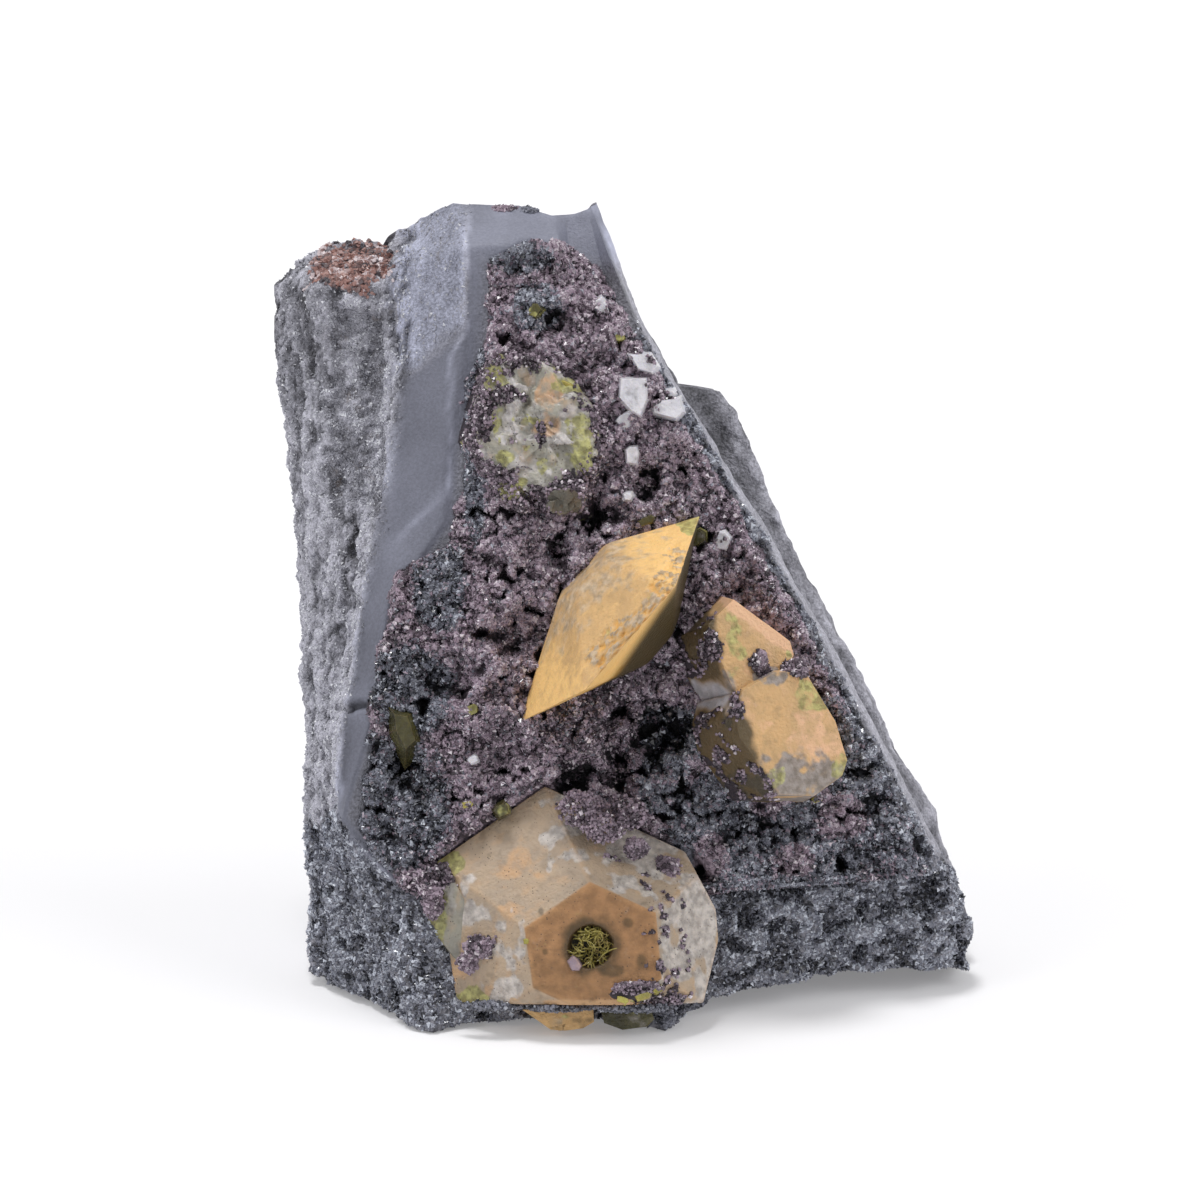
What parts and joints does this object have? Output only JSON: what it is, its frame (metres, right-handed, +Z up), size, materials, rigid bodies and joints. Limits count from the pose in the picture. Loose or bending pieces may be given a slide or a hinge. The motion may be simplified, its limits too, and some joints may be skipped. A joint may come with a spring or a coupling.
{
  "type": "sturmanite mineral specimen",
  "caption": "Broken block of dark ore with a purple-brown garnet druse on its leaning front, set with tan and ochre lens-shaped sturmanite crystals.",
  "frame": {"origin": "on the flat underside that it stands on, within 2 mm of its middle", "axes": "+Z up, +X to the right as seen from the front, -Y towards the viewer of the crystals"},
  "size_m": [0.0535, 0.034, 0.0577],
  "materials": {
    "manganese_ore": "dark grey ore, matt slate to fine glittering black druse",
    "garnet_druse": "purple-brown druse of glittering grains",
    "sturmanite_tan": "satin tan crystal faces with an orange-brown cap",
    "sturmanite_ochre": "satin ochre crystal faces",
    "sturmanite_coated": "yellow-green crystal under a grey druse coating",
    "sturmanite_olive": "dark olive, slightly glassy",
    "pale_mineral": "pale grey, satin"
  },
  "bodies": {
    "root": {"host_rock": "manganese_ore", "garnet_crust": "garnet_druse", "lower_crystal": "sturmanite_tan", "middle_crystal": "sturmanite_ochre", "right_crystal": "sturmanite_ochre", "upper_crystal": "sturmanite_coated", "foot_crystal_orange": "sturmanite_ochre", "foot_crystal_olive": "sturmanite_olive", "olive_blade": "sturmanite_olive", "pale_plate_left": "pale_mineral", "pale_plate_right": "pale_mineral", "pale_plate_top": "pale_mineral"}
  },
  "joints": []
}
